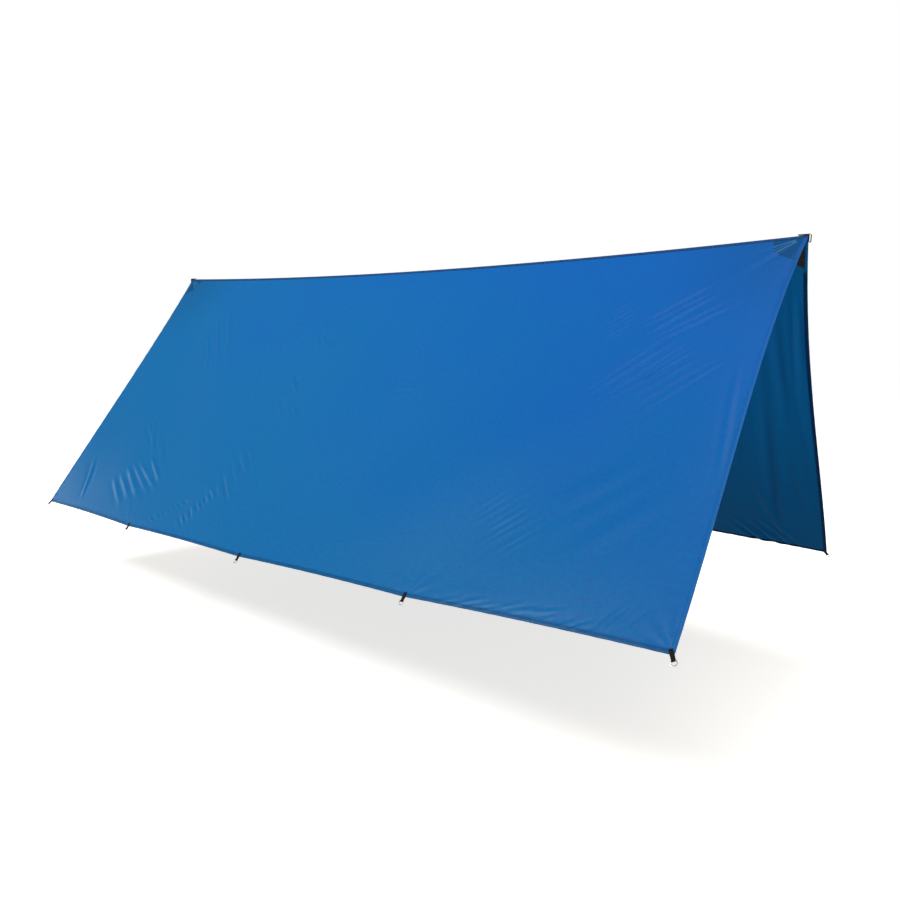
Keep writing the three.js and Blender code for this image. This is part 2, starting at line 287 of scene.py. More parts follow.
def front_creases(rng):
    # Pulls from the far tip
    yield from crease_row(rng, -1.03, 0.42, 52, 480, 11, 3.0, 3, (0.055, -0.030))
    # Chains of short puckers below the far half of the ridge
    yield from crease_row(rng, -0.50, 0.24, 40, 75, 6, 2.1, 8, (-0.004, 0.026))
    yield from crease_row(rng, -0.29, 0.38, 43, 80, 6, 2.0, 4, (0.045, 0.002))
    yield from crease_row(rng, -0.56, 0.54, 37, 130, 7, 2.0, 6, (0.012, 0.024))
    yield from crease_row(rng, -0.33, 0.57, 38, 180, 9, 3.0, 3, (0.030, 0.018))
    yield from crease_row(rng, -0.34, 0.71, 38, 170, 9, 2.8, 4, (0.055, 0.006))
    yield from crease_row(rng, -0.30, 0.94, 38, 260, 9, -3.4, 4, (0.000, 0.050))
    # The far corner
    yield from crease_row(rng, -1.32, 1.14, 58, 230, 10, 2.8, 3, (0.020, 0.038))
    yield from crease_row(rng, -1.00, 1.20, 28, 300, 10, 3.2, 6, (0.036, -0.026))
    yield from crease_row(rng, -1.05, 0.90, 40, 240, 11, 2.4, 4, (0.050, 0.020))
    # Dimples above the far hem
    yield from crease_row(rng, -0.63, 1.29, 9, 48, 6, -2.2, 8, (0.021, -0.016))
    yield from crease_row(rng, -0.43, 1.26, 32, 80, 7, -3.4, 8, (0.013, -0.021))
    # Ripples in the middle
    yield from crease_row(rng, 0.27, 0.37, -10, 200, 7, 1.0, 10, (0.004, 0.028))
    # Pulls from the near tip and the near edge
    yield from crease_row(rng, 1.02, 0.24, -38, 200, 6, 1.6, 7, (0.004, 0.022))
    yield from crease_row(rng, 1.19, 0.25, -37, 320, 7, 2.2, 5, (0.020, 0.024))
    yield from crease_row(rng, 1.11, 0.49, -42, 330, 6, 2.6, 7, (0.033, 0.015))
    yield from crease_row(rng, 1.462, 0.70, 86, 640, 9, 2.0)
    yield from crease_row(rng, 0.88, 0.99, -46, 260, 6, 0.6, 9, (0.018, 0.016))
    yield from crease_row(rng, 1.18, 0.91, -41, 420, 28, 2.4, 3, (0.055, 0.055))
    # The near corner and its hem
    yield from crease_row(rng, 1.20, 1.30, -30, 70, 5, 1.2, 3, (0.040, 0.004))
    yield from crease_row(rng, 1.33, 1.28, -58, 130, 5, 1.5, 4, (0.024, -0.004))
    yield from crease_row(rng, 0.90, 1.31, -18, 120, 5, 1.0, 6, (0.055, -0.003))


def back_creases(rng):
    # Long pulls from the near tip down to the near corner
    yield from crease_row(rng, 1.472, 0.35, 89, 560, 9, 3.4)
    yield from crease_row(rng, 1.450, 0.38, 89, 640, 10, -5.0)
    yield from crease_row(rng, 1.404, 0.46, 90, 700, 17, 7.5)
    yield from crease_row(rng, 1.462, 0.74, 87, 480, 10, -4.5)
    yield from crease_row(rng, 1.330, 0.90, 89, 900, 19, 8.5)
    yield from crease_row(rng, 1.436, 1.00, 81, 380, 12, -5.5)
    yield from crease_row(rng, 1.305, 1.14, 80, 320, 14, -5.5)
    yield from crease_row(rng, 1.22, 0.70, 84, 640, 25, 7.0, 3, (-0.095, 0.02))
    # The near corner
    yield from crease_row(rng, 1.34, 1.26, 46, 240, 11, 3.4, 4, (-0.045, 0.010))
    yield from crease_row(rng, 0.85, 1.16, -4, 260, 12, 1.8, 4, (0.030, 0.030))
    # The rest of the slope, most of which the photo hides
    yield from crease_row(rng, 0.85, 0.30, 40, 200, 9, 1.1, 6, (0.035, 0.020))
    yield from crease_row(rng, 0.45, 0.80, 46, 240, 9, 1.2, 6, (0.045, 0.018))
    yield from crease_row(rng, 0.10, 1.14, 33, 120, 8, 1.2, 7, (0.030, -0.020))
    yield from crease_row(rng, -0.30, 0.52, -40, 180, 9, 1.1, 6, (0.035, 0.024))
    yield from crease_row(rng, -0.65, 1.14, -34, 160, 8, 1.3, 7, (0.036, 0.010))
    yield from crease_row(rng, -1.05, 0.48, -50, 320, 12, 1.7, 4, (0.045, 0.028))
    yield from crease_row(rng, -1.30, 1.10, -57, 230, 9, 1.9, 5, (0.026, 0.028))


CREASES = {
    "front": list(front_creases(np.random.default_rng(7))),
    "back": list(back_creases(np.random.default_rng(23))),
}


def smooth(t):
    """From 0 to 1 with level ends."""
    t = np.clip(t, 0, 1)
    return t * t * (3 - 2 * t)


def tip_folds(x, down):
    """Tension folds that fan out from both ridge ends and fade with distance."""
    aside = RIDGE_END - np.abs(x)
    distance = np.hypot(aside, down)
    bearing = np.arctan2(down, aside + 1e-6)
    fan = np.sin(12 * bearing) + 0.6 * np.sin(19 * bearing + 1.3)
    strength = 0.0017 * smooth((distance - 0.02) / 0.08) * np.exp(-distance / 0.13)
    return strength * fan * smooth((down - SEAM_FLANGE) / 0.03)


def tie_folds(slope, x, down):
    """Short folds that fan up from each tie-out."""
    height = np.zeros_like(x)
    up = slope.length(x) - down
    for k, tie_x in enumerate(slope.tie_x):
        distance = np.hypot(x - tie_x, up)
        bearing = np.arctan2(up, x - tie_x)
        fan = np.sin(13 * bearing + 1.7 * k)
        strength = 0.0006 * smooth((distance - SEWN_LENGTH) / 0.03) * np.exp(-distance / 0.08)
        height += strength * fan * np.clip(up / 0.02, 0, 1)
    return height


def hem_pucker(slope, x, down):
    """The slight waviness that the stitching gives the hems. The tie-outs hold it flat."""
    up = slope.length(x) - down
    aside = RIDGE_END - np.abs(x)
    from_tie = np.hypot(x[..., None] - slope.tie_x, up[..., None]).min(axis=-1)
    bottom = np.sin(x * 115) * np.sin(x * 31 + 1) * np.exp(-up / 0.016)
    sides = np.sin(down * 105) * np.sin(down * 37 + 2) * np.exp(-aside / 0.014)
    pucker = 0.0007 * bottom + 0.0005 * sides * np.clip(down / 0.15, 0, 1)
    return pucker * smooth((from_tie - SEWN_LENGTH) / 0.03)


def soft_waves(slope, x, down):
    """The large, low undulation of a taut slope, still at its edges."""
    t = np.clip(down / slope.length(x), 0, 1)
    still = np.sin(math.pi * t) * smooth((RIDGE_END - np.abs(x)) / 0.35)
    still *= smooth((slope.length(x) - down) / 0.08)
    near = smooth((x + 0.1) / 0.6)
    far_waves = np.sin((x - 0.75 * down) * 9.5 + 0.6)
    near_waves = np.sin((x + 0.85 * down) * 8.0 + 1.9)
    waves = far_waves * (1 - near) + near_waves * near
    return still * (WAVE_HEIGHT * waves - BILLOW)


def relief(slope, x, down):
    """How far the cloth stands out of the plain slope."""
    height = soft_waves(slope, x, down) + tip_folds(x, down)
    height += tie_folds(slope, x, down) + hem_pucker(slope, x, down)
    for crease in CREASES[slope.name]:
        crease.add_to(height, x, down)
    return height


# ---- Meshes ----


def new_piece(name, vertices, faces, sharp=40):
    mesh = bpy.data.meshes.new(name)
    mesh.from_pydata(vertices, [], faces)
    mesh.update()
    mesh.shade_smooth()
    mesh.set_sharp_from_angle(angle=math.radians(sharp))
    piece = bpy.data.objects.new(name, mesh)
    bpy.context.scene.collection.objects.link(piece)
    return piece


def grid_faces(columns, rows, first, flip):
    i, j = np.meshgrid(np.arange(columns - 1), np.arange(rows - 1), indexing="ij")
    a = first + i * rows + j
    quads = np.stack([a, a + 1, a + rows + 1, a + rows], axis=-1).reshape(-1, 4)
    return quads[:, ::-1] if flip else quads


def slab(name, outer, inner, flip):
    """A closed sheet between two grids of points, which have the same columns and rows."""
    columns, rows = outer.shape[:2]
    count = columns * rows
    index = np.arange(count).reshape(columns, rows)
    ring = np.concatenate([index[0, :-1], index[:-1, -1], index[-1, :0:-1], index[:0:-1, 0]])
    following = np.roll(ring, -1)
    rim = np.stack([following, ring, ring + count, following + count], axis=-1)
    faces = np.concatenate(
        [
            grid_faces(columns, rows, 0, flip),
            grid_faces(columns, rows, count, not flip),
            rim[:, ::-1] if flip else rim,
        ]
    )
    vertices = np.concatenate([outer.reshape(-1, 3), inner.reshape(-1, 3)])
    return new_piece(name, vertices.tolist(), faces.tolist())


def add_uv(piece, name, values):
    """A UV map with one pair for each vertex."""
    layer = piece.data.uv_layers.new(name=name)
    corners = np.zeros(len(piece.data.loops), int)
    piece.data.loops.foreach_get("vertex_index", corners)
    layer.data.foreach_set("uv", np.asarray(values, float)[corners].ravel())


def sweep(name, centres, sides, normals, section, closed=False):
    """A closed solid from a section of (aside, out) points carried along a line."""
    section = np.array(section)
    vertices = (
        centres[:, None, :]
        + sides[:, None, :] * section[None, :, 0, None]
        + normals[:, None, :] * section[None, :, 1, None]
    )
    count, around = vertices.shape[:2]
    faces = []
    for i in range(count if closed else count - 1):
        here = i * around
        there = (i + 1) % count * around
        for j in range(around):
            k = (j + 1) % around
            faces.append((here + j, here + k, there + k, there + j))
    if not closed:
        faces.append(tuple(reversed(range(around))))
        faces.append(tuple(range((count - 1) * around, count * around)))
    return new_piece(name, vertices.reshape(-1, 3).tolist(), faces)


def lengths(points):
    """The distance along a line at each of its points."""
    steps = np.linalg.norm(np.diff(points, axis=0), axis=1)
    return np.concatenate([[0], np.cumsum(steps)])


def resampled(points, pitch):
    """The same line with its points evenly spaced."""
    run = lengths(points)
    count = max(int(run[-1] / pitch), 2)
    at = np.linspace(0, run[-1], count + 1)
    return np.stack([np.interp(at, run, points[:, k]) for k in range(points.shape[1])], axis=1)


def arc(centre, radius, start, end, steps):
    angles = np.linspace(start, end, steps + 1)
    return [(centre[0] + radius * math.cos(a), centre[1] + radius * math.sin(a)) for a in angles]


# ---- Cloth pieces ----


def stitched_rows():
    """Distances from a hem's edge: its rounded edge, its stitch line and its ramp to the cloth."""
    stitches = [HEM_STITCH - HEM_GROOVE, HEM_STITCH, HEM_STITCH + HEM_GROOVE]
    return [0, 0.0005, 0.0045, *stitches, HEM_WIDTH, HEM_RAMP]


def hem_profile(distance):
    """The hem's half thickness at a distance from its edge, with a groove at the stitches."""
    marks = stitched_rows()
    thick = HEM_THICKNESS / 2
    halves = [0.55 * thick, thick, thick, 0.95 * thick, 0.62 * thick, 0.95 * thick, 0.8 * thick]
    return np.interp(distance, marks, [*halves, CLOTH_THICKNESS / 2])


def whole_blocks(distance, extra):
    """How many cells a distance takes, so that with the extra ones they fill whole blocks."""
    blocks = round((distance / CELL_PITCH + extra) / CELLS_PER_BLOCK)
    return blocks * CELLS_PER_BLOCK - extra


def sheet_grid(slope):
    """The sheet's finest grid: x and down for each of its points."""
    marks = np.array(stitched_rows())
    inner = RIDGE_END - marks[-1]
    spans = whole_blocks(2 * inner, 2 * (len(marks) - 1))
    middle = np.linspace(-inner, inner, spans + 1)
    xs = np.concatenate([-RIDGE_END + marks[:-1], middle, (RIDGE_END - marks[:-1])[::-1]])
    length = slope.length(xs)[:, None]
    spans = whole_blocks(float(length.mean()), len(marks) - 1)
    share = np.linspace(0, 1, spans + 1)[None, :]
    body = SHEET_TOP + (length - marks[-1] - SHEET_TOP) * share
    hem = length - marks[:-1][::-1][None, :]
    down = np.concatenate([body, hem], axis=1)
    return np.broadcast_to(xs[:, None], down.shape).copy(), down


def smooth_blocks(x, down, heights, size):
    """Which blocks of size by size cells one face follows closely enough."""

    def corner(grid, i, j):
        rows = grid[i : grid.shape[0] - size + i : size]
        return rows[:, j : grid.shape[1] - size + j : size]

    left = corner(x, 0, 0)
    width = corner(x, size, 0) - left
    top_edge = corner(down, 0, 0)
    depth = corner(down, 0, size) - top_edge
    worst = 0
    for i in range(size + 1):
        for j in range(size + 1):
            p = (corner(x, i, j) - left) / width
            q = (corner(down, 0, j) - top_edge) / depth
            for grid in heights:
                top = corner(grid, 0, 0) * (1 - p) + corner(grid, size, 0) * p
                bottom = corner(grid, 0, size) * (1 - p) + corner(grid, size, size) * p
                miss = np.abs(corner(grid, i, j) - top * (1 - q) - bottom * q)
                worst = np.maximum(worst, miss)
    return worst < FLATNESS


def sheet_cells(x, down, heights):
    """The faces as (column, row, size), large where the cloth is smooth and small at a crease."""
    cells = []
    taken = np.zeros((x.shape[0] - 1, x.shape[1] - 1), bool)
    size = CELLS_PER_BLOCK
    while size >= 1:
        smooth_here = smooth_blocks(x, down, heights, size) if size > 1 else ~taken
        free = smooth_here & ~taken[::size, ::size]
        cells += [(i * size, j * size, size) for i, j in np.argwhere(free)]
        taken |= np.kron(free, np.ones((size, size), bool))
        size //= 2
    return cells


def round_block(i, j, wide, deep):
    """The grid points round a block of cells, in order."""
    points = [(i + k, j) for k in range(wide)]
    points += [(i + wide, j + k) for k in range(deep)]
    points += [(i + wide - k, j + deep) for k in range(wide)]
    points += [(i, j + deep - k) for k in range(deep)]
    return points


def cell_faces(corners, height, i, j, size):
    """A cell's faces. A plain one is cut in two, along the cloth's folds and not across them."""
    if len(corners) > 4:
        return [corners]
    falling = abs(height[i, j] - height[i + size, j + size])
    rising = abs(height[i + size, j] - height[i, j + size])
    across = int(falling > rising)
    a, b, c, d = corners[across:] + corners[:across]
    return [[a, b, c], [a, c, d]]


def fan(corners, centre):
    """A cell's faces, all from its centre."""
    return [[here, there, centre] for here, there in zip(corners, corners[1:] + corners[:1])]


def sheet_mesh(name, outer, inner, height, cells, folding, flip):
    """A closed sheet whose two sides have the same cells. A large cell also takes the corners of
    the small cells beside it, so no gap opens between them. One of those near the ridge is
    fanned from its centre. Gives the grid points it used too."""
    used = np.zeros(outer.shape[:2], bool)
    for i, j, size in cells:
        used[i : i + size + 1 : size, j : j + size + 1 : size] = True
    middles = {}
    for i, j, size in cells:
        if folding[i, j] and sum(used[p] for p in round_block(i, j, size, size)) > 4:
            middles[i, j] = (i + size // 2, j + size // 2)
    for middle in middles.values():
        used[middle] = True
    number = np.cumsum(used.ravel()).reshape(used.shape) - 1
    count = int(used.sum())
    faces = []
    for i, j, size in cells:
        corners = [int(number[p]) for p in round_block(i, j, size, size) if used[p]]
        if (i, j) in middles:
            parts = fan(corners, int(number[middles[i, j]]))
        else:
            parts = cell_faces(corners, height, i, j, size)
        for face in parts:
            far_face = [k + count for k in reversed(face)]
            faces += [face[::-1], far_face[::-1]] if flip else [face, far_face]
    covered = len(faces)
    columns, rows = used.shape
    edge = round_block(0, 0, columns - 1, rows - 1)
    ring = [int(number[p]) for p in edge if used[p]]
    for here, there in zip(ring, ring[1:] + ring[:1]):
        side = [there, here, here + count, there + count]
        faces.append(side[::-1] if flip else side)
    vertices = np.concatenate([outer[used], inner[used]])
    sheet = new_piece(name, vertices.tolist(), faces)
    sides = np.zeros(len(faces), int)
    sides[1:covered:2] = INSIDE
    sheet.data.polygons.foreach_set("material_index", sides)
    return sheet, used


def fold_bend(slope, x, down):
    """The bend beside the ridge that the faces are chosen for, as far as it counts; the cloth is
    not bent by it.
    """
    off_plane = down * np.sin(slope.angle + slope.turn * x)
    patched = RIDGE_END - np.abs(x) < PATCH_REACH + CELLS_PER_BLOCK * CELL_PITCH
    share = np.where(patched, FOLD_SHARE_PATCHED, FOLD_SHARE)
    return share * down * smooth((off_plane - FOLD_START) / (FOLD_END - FOLD_START))


def fold_with(piece, slope):
    """Bakes the piece's place into its mesh."""
    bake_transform(piece)


def make_sheet(slope):
    x, down = sheet_grid(slope)
    up = slope.length(x) - down
    aside = RIDGE_END - np.abs(x)
    half = hem_profile(np.minimum(up, aside))
    height = relief(slope, x, down)
    cells = sheet_cells(x, down, (height + half, height - half, fold_bend(slope, x, down)))
    folding = down * math.sin(slope.angle) < 1.5 * FOLD_END
    outer = slope.point(x, down, half)
    inner = slope.point(x, down, -half)
    name = f"{slope.name}_sheet"
    sheet, used = sheet_mesh(name, outer, inner, height, cells, folding, slope.sign < 0)
    flat = np.stack([x, down], axis=-1)[used]
    edges = np.stack([aside, up], axis=-1)[used]
    add_uv(sheet, "cloth", np.concatenate([flat, flat]))
    add_uv(sheet, "edges", np.concatenate([edges, edges]))
    fold_with(sheet, slope)
    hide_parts(f"{slope.name}_panel")
    return sheet


def patch_outline():
    """A rough quarter-round with three cut edges: distances in from the side hem and down."""
    r = PATCH_REACH
    points = [(0.92 * r, PATCH_TOP), (0.80 * r, 0.45 * r), (0.52 * r, 0.75 * r), (PATCH_INSET, r)]
    return np.array(points)


def make_patch(slope, end_name, end_sign):
    outline = resampled(patch_outline(), 0.004)
    corner = np.array([PATCH_INSET, PATCH_TOP])
    shares = np.concatenate([np.linspace(0.03, 0.96, 18), [0.985, 1.0]])
    grid = corner + (outline[:, None, :] - corner) * shares[None, :, None]
    x = end_sign * (RIDGE_END - grid[..., 0])
    down = grid[..., 1]
    rounded = PATCH_THICKNESS * np.where(shares < 0.97, 1.0, np.where(shares < 0.99, 0.8, 0.3))
    face = -hem_profile(grid[..., 0]) - PATCH_GAP
    near_face = slope.point(x, down, face)
    far_face = slope.point(x, down, face - np.broadcast_to(rounded, x.shape))
    name = f"tip_patch_{slope.name}_{end_name}"
    patch = slab(name, near_face, far_face, slope.sign * end_sign > 0)
    flat = grid.reshape(-1, 2)
    add_uv(patch, "cloth", np.concatenate([flat, flat]))
    fold_with(patch, slope)
    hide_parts(f"patch_{slope.name}_{end_name}")
    return patch


def seam_section(x, front, back):
    """The seam's section at one x, as (y, z) points round a bead with two flat flanges."""
    points = []
    outs = []
    for slope in (front, back):
        down, out = slope.frame_at(np.array([x]))
        outs.append((down[0, 1:], out[0, 1:]))
    (front_down, front_out), (back_down, back_out) = outs
    low = float(hem_profile(RIDGE_END - abs(x))) + SEAM_GAP
    high = low + SEAM_THICKNESS
    for distance, height in ((1.0, low), (1.0, high), (SEAM_STEP, high)):
        points.append(front_down * SEAM_FLANGE * distance + front_out * height)
    start = math.atan2(front_out[1], front_out[0])
    end = math.atan2(back_out[1], back_out[0])
    for angle in np.linspace(start, end, 9):
        points.append(SEAM_RADIUS * np.array([math.cos(angle), math.sin(angle)]))
    for distance, height in ((SEAM_STEP, high), (1.0, high), (1.0, low)):
        points.append(back_down * SEAM_FLANGE * distance + back_out * height)
    points.append(np.array([0.0, low / math.sin(front.angle)]))
    return np.array(points)


def make_seam(front, back):
    hem = RIDGE_END - np.array(stitched_rows())
    middle = np.linspace(-hem[-1], hem[-1], SEAM_SECTIONS)
    xs = np.concatenate([-hem[:-1], middle, hem[:-1][::-1]])
    sections = np.array([seam_section(x, front, back) for x in xs])
    sections[..., 1] -= (RIDGE_SAG * (1 - (xs / RIDGE_END) ** 2))[:, None]
    count, around = sections.shape[:2]
    along = np.broadcast_to(xs[:, None, None], (count, around, 1))
    vertices = np.concatenate([along, sections], axis=2)
    faces = []
    for i in range(count - 1):
        here = i * around
        there = here + around
        for j in range(around):
            k = (j + 1) % around
            faces.append((here + j, there + j, there + k, here + k))
    faces.append(tuple(range(around)))
    faces.append(tuple(reversed(range((count - 1) * around, count * around))))
    seam = new_piece("ridge_seam", vertices.reshape(-1, 3).tolist(), faces, sharp=50)
    aside = np.broadcast_to(np.linspace(0, 0.02, around), (count, around))
    flat = np.stack([vertices[..., 0], aside], axis=-1)
    add_uv(seam, "cloth", flat.reshape(-1, 2))
    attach(seam, "ridge")
    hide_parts("ridge_binding")
    return seam


# ---- Webbing and rings ----


def webbing_section():
    """A flat strip with rounded edges and ribs along it, as (aside, out) points."""
    half = WEBBING_WIDTH / 2
    thick = WEBBING_THICKNESS / 2
    steps = 4 * WEBBING_RIBS
    asides = np.linspace(-half, half, steps + 1)
    ribs = 0.06 * thick * np.cos(asides / WEBBING_WIDTH * WEBBING_RIBS * 2 * math.pi)
    edge = np.clip((half - np.abs(asides)) / WEBBING_EDGE, 0, 1)
    heights = thick * np.sqrt(1 - (1 - edge) ** 2) * 0.94 + ribs * edge
    top = list(zip(asides, np.maximum(heights, 0.0001)))
    bottom = [(a, -h) for a, h in reversed(top)]
    return top + bottom


def make_webbing(name, line, origin, along, out, node):
    """Webbing along a line of (along, out) points, its width across both."""
    line = resampled(np.array(line), WEBBING_PITCH)
    tangent = unit(np.gradient(line, axis=0))
    side = np.cross(along, out)
    centres = origin + line[:, :1] * along + line[:, 1:] * out
    normals = tangent[:, :1] * out - tangent[:, 1:] * along
    sides = np.broadcast_to(side, centres.shape)
    section = webbing_section()
    piece = sweep(name, centres, sides, normals, section)
    run = np.broadcast_to(lengths(line)[:, None], (len(line), len(section)))
    aside = np.broadcast_to(np.array(section)[None, :, 0], run.shape)
    add_uv(piece, "cloth", np.stack([run, aside], axis=-1).reshape(-1, 2))
    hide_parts(node)
    return piece


def tie_line(lean):
    """The tie-out's line: down the outer face of the hem, round the ring's bar and back up."""
    on_hem = HEM_THICKNESS / 2 + WEBBING_THICKNESS / 2 + SEWN_GAP
    pinch = WEBBING_THICKNESS / 2 + PINCH_GAP / 2
    bend = WIRE_RADIUS + WEBBING_THICKNESS / 2 + BAR_GAP
    clear = HEM_CLEAR + WEBBING_WIDTH / 2 * math.tan(lean)
    upper = [(-SEWN_LENGTH, on_hem), (clear, on_hem)]
    upper += [(clear + PINCH_START, pinch), (LOOP_LENGTH - PINCH_END, pinch)]
    lower = [(a, -b) for a, b in reversed(upper)]
    turn = arc((LOOP_LENGTH, 0), bend, BAR_TURN, -BAR_TURN, 18)
    return upper + turn + lower


def make_tie_webbing(slope, tie, lean):
    name = f"tie_webbing_{tie.label}"
    node = f"webbing_{tie.label}"
    piece = make_webbing(name, tie_line(lean), tie.hem, tie.pull, tie.out, node)
    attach(piece, slope.body)
    return piece


def ring_line():
    """The D's centre line as (along, aside) points, from the middle of its bar and round."""
    quarter = math.pi / 2
    c = RING_CORNER
    line = [(0, 0)]
    line += arc((c, RING_RADIUS - c), c, 2 * quarter, quarter, 6)
    line += arc((RING_ARM, 0), RING_RADIUS, quarter, -quarter, 28)
    line += arc((c, c - RING_RADIUS), c, -quarter, -2 * quarter, 6)
    return np.array([*line, (0, 0)])


def make_ring(tie):
    line = resampled(ring_line(), WIRE_PITCH)[:-1]
    tangent = unit(np.roll(line, -1, axis=0) - np.roll(line, 1, axis=0))
    centres = tie.bar + line[:, :1] * tie.pull + line[:, 1:] * tie.side
    sides = tangent[:, 1:] * tie.pull - tangent[:, :1] * tie.side
    normals = np.broadcast_to(tie.out, centres.shape)
    section = arc((0, 0), WIRE_RADIUS, 0, 2 * math.pi, 14)[:-1]
    ring = sweep(f"tie_ring_{tie.label}", centres, sides, normals, section, closed=True)
    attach(ring, tie.ring_body)
    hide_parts(f"d_ring_{tie.label}")
    return ring


def ridge_loop_line():
    """The ridge-end loop's line: over the ridge, down round the free loop and back on top."""
    low = SEAM_RADIUS + WEBBING_GAP + WEBBING_THICKNESS / 2
    high = low + WEBBING_THICKNESS + WEBBING_GAP
    inner = WEBBING_GAP + WEBBING_THICKNESS / 2
    outer = inner + RIDGE_OPEN
    quarter = math.pi / 2
    tight, wide = RIDGE_BENDS
    line = [(-RIDGE_LEG, low)]
    line += arc((inner - tight, low - tight), tight, quarter, 0, 5)
    line += arc((inner + RIDGE_OPEN / 2, -RIDGE_DROP), RIDGE_OPEN / 2, 2 * quarter, 4 * quarter, 12)
    line += arc((outer - wide, high - wide), wide, 0, quarter, 8)
    return [*line, (-RIDGE_LEG, high)]


def make_ridge_loop(end_name, end_sign):
    origin = np.array([end_sign * RIDGE_END, 0.0, 0.0])
    along = np.array([end_sign, 0.0, 0.0])
    up = np.array([0.0, 0.0, 1.0])
    name = f"ridge_webbing_{end_name}"
    piece = make_webbing(name, ridge_loop_line(), origin, along, up, f"ridge_loop_{end_name}")
    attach(piece, "ridge")
    return piece


# ---- Materials ----


class Look:
    """A material and short ways to add and join its nodes."""

    def __init__(self, name):
        self.material = bpy.data.materials.new(name)
        self.material.use_nodes = True
        self.tree = self.material.node_tree
        self.shader = self.tree.nodes["Principled BSDF"]
        self.output = self.tree.nodes["Material Output"]

    def set(self, **values):
        for name, value in values.items():
            self.shader.inputs[name.replace("_", " ")].default_value = value

    def wear(self, colour, normal):
        self.feed(self.shader.inputs["Base Color"], colour)
        self.feed(self.shader.inputs["Normal"], normal)

    def node(self, kind, settings=(), **inputs):
        made = self.tree.nodes.new(f"ShaderNode{kind}")
        for name, value in dict(settings).items():
            setattr(made, name, value)
        for name, value in inputs.items():
            self.feed(made.inputs[name.replace("_", " ")], value)
        return made

    def feed(self, socket, value):
        if isinstance(value, bpy.types.NodeSocket):
            self.tree.links.new(value, socket)
        else:
            socket.default_value = value

    def math(self, operation, *values):
        made = self.node("Math", {"operation": operation})
        for socket, value in zip(made.inputs, values):
            self.feed(socket, value)
        return made.outputs[0]

    def times(self, first, second):
        return self.math("MULTIPLY", first, second)

    def ramp(self, value, low, high, to_low=0.0, to_high=1.0):
        limits = {"From_Min": low, "From_Max": high, "To_Min": to_low, "To_Max": to_high}
        made = self.node("MapRange", {"interpolation_type": "SMOOTHSTEP"}, Value=value, **limits)
        return made.outputs["Result"]

    def mix(self, factor, first, second):
        made = self.node("Mix", {"data_type": "RGBA"}, Factor=factor)
        self.feed(made.inputs[6], first)
        self.feed(made.inputs[7], second)
        return made.outputs[2]

    def uv(self, name):
        return self.node("UVMap", {"uv_map": name}).outputs["UV"]

    def split(self, vector):
        made = self.node("SeparateXYZ", Vector=vector)
        return made.outputs["X"], made.outputs["Y"]

    def noise(self, vector, scale, detail=2.0, roughness=0.5):
        made = self.node("TexNoise", Vector=vector, Scale=scale, Detail=detail, Roughness=roughness)
        return made.outputs["Fac"]

    def weave(self, u, v, pitch):
        """Threads that pass over and under each other, from 0 to 1."""
        turns = 2 * math.pi / pitch
        warp = self.math("SINE", self.times(u, turns))
        weft = self.math("SINE", self.times(v, turns))
        return self.math("MULTIPLY_ADD", self.times(warp, weft), 0.5, 0.5)

    def bump(self, height, distance, strength, under=None):
        made = self.node("Bump", Height=height, Distance=distance, Strength=strength)
        if under is not None:
            self.feed(made.inputs["Normal"], under)
        return made.outputs["Normal"]

    def dashes(self, along, across, at, pitch, width):
        """Stitches along a line: 1 on the thread and 0 off it."""
        line = self.math("ABSOLUTE", self.math("SUBTRACT", across, at))
        on_line = self.ramp(line, width, width * 0.6)
        wave = self.math("SINE", self.times(along, 2 * math.pi / pitch))
        return self.times(on_line, self.ramp(wave, -0.6, -0.2))


# The cloth's colours, the painted shade mixed into them, and its threads
ROYAL = (0.001, 0.120, 0.425, 1)
TEAL = (0.001, 0.150, 0.350, 1)
# Painted shade, mixed in near the ridge ends, over the tip patches, on the bottom hem and over the
# inner side
SHADE = (0.000, 0.044, 0.125, 1)
# Painted shade on the inner side's turned hems
HEM_PAINTED_SHADE = (0.001, 0.010, 0.040, 1)
MOTTLE = (0.016, 0.070, 0.360, 1)
THREAD = (0.003, 0.055, 0.190, 1)
# The fan stitches' thread, paler than the cloth
PALE_THREAD = (0.090, 0.310, 0.580, 1)


def patch_distance(look, aside, down):
    """How far inside a tip patch's outline a point lies."""
    outline = patch_outline()
    nearest = None
    for (a0, b0), (a1, b1) in zip(outline[:-1], outline[1:]):
        run = math.hypot(a1 - a0, b1 - b0)
        na, nb = (b0 - b1) / run, (a1 - a0) / run
        offset = -(na * a0 + nb * b0)
        here = look.math("MULTIPLY_ADD", aside, na, look.math("MULTIPLY_ADD", down, nb, offset))
        nearest = here if nearest is None else look.math("MINIMUM", nearest, here)
    return nearest


def radial_stitches(look, bearing, distance):
    """Rows of slanted stitches that fan out from a tip and hold its patch: 1 on the thread."""
    rows = None
    for angle in FAN_BEARINGS:
        turned = look.math("SUBTRACT", bearing, math.radians(angle))
        across = look.times(turned, distance)
        along = look.math("MULTIPLY_ADD", across, 0.9, distance)
        row = look.dashes(along, across, 0, FAN_PITCH, FAN_WIDTH)
        rows = row if rows is None else look.math("MAXIMUM", rows, row)
    return look.times(rows, look.ramp(distance, 0.030, 0.036))


